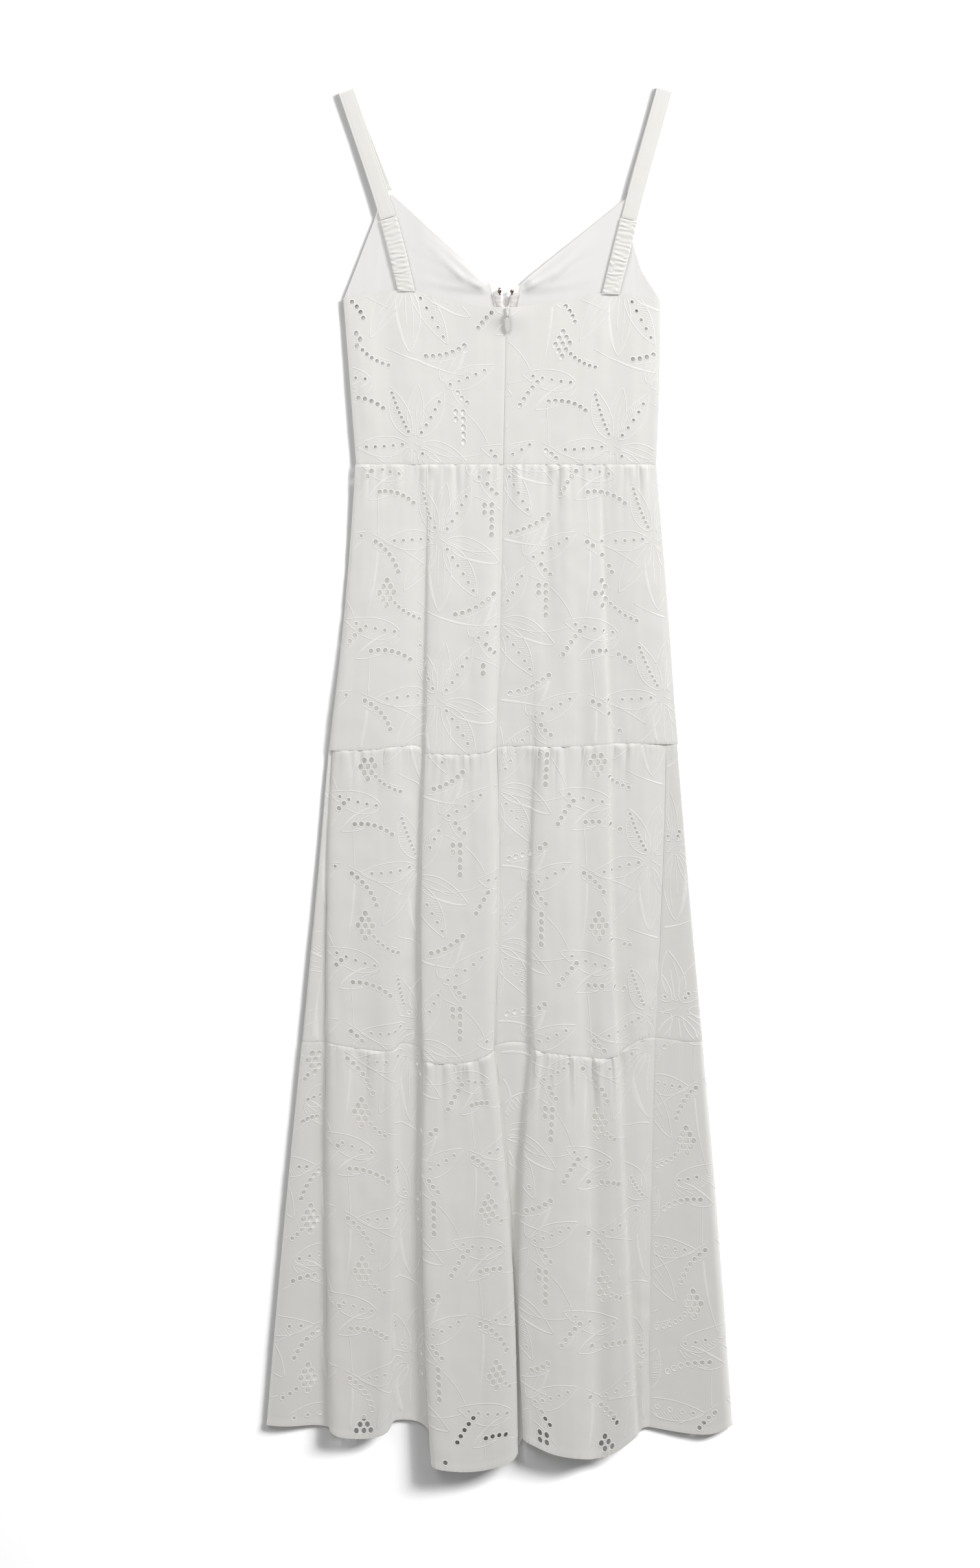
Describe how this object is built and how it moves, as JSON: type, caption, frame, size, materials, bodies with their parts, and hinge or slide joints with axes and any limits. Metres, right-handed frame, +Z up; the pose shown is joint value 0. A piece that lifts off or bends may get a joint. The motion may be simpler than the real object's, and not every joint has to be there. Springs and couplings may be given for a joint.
{
  "type": "embroidered maxi dress",
  "caption": "White sleeveless maxi dress in eyelet-embroidered cotton, laid flat with its back up: fitted bodice, thin straps, tiered skirt.",
  "frame": {"origin": "middle of the dress's box, on the surface that it lies on", "axes": "+Y from the hem to the shoulders, +X to the right as seen from above, +Z up, away from the surface"},
  "size_m": [0.4678, 1.3866, 0.0157],
  "materials": {
    "embroidered_cotton": "matt woven cotton with satin-stitch embroidery and cut eyelets",
    "smooth_lining": "smooth soft white cloth",
    "ring_metal": "bright silver metal",
    "zip_enamel": "white enamel"
  },
  "bodies": {
    "dress": {"back_bodice_left": "embroidered_cotton", "back_bodice_right": "embroidered_cotton", "front_bodice_left": "embroidered_cotton", "front_bodice_right": "embroidered_cotton", "tier_1_back_left": "embroidered_cotton", "tier_1_back_right": "embroidered_cotton", "tier_1_front": "embroidered_cotton", "tier_2_back_left": "embroidered_cotton", "tier_2_back_right": "embroidered_cotton", "tier_2_front": "embroidered_cotton", "tier_3_back_left": "embroidered_cotton", "tier_3_back_right": "embroidered_cotton", "tier_3_front": "embroidered_cotton", "strap_left": "embroidered_cotton", "strap_right": "embroidered_cotton", "strap_elastic_left": "embroidered_cotton", "strap_elastic_right": "embroidered_cotton", "cup_lining_left": "smooth_lining", "cup_lining_right": "smooth_lining", "ring_cuff_left": "smooth_lining", "ring_cuff_right": "smooth_lining", "neck_ring": "ring_metal", "zip_slider": "zip_enamel"},
    "zip_pull": {"zip_pull": "zip_enamel"}
  },
  "joints": [
    {"name": "zip_pull_swing", "type": "hinge", "parent": "dress", "child": "zip_pull", "pos_m": [0.0076, 0.4636, 0.0105], "axis": [-1, 0, 0], "range_deg": [0, 150]}
  ]
}
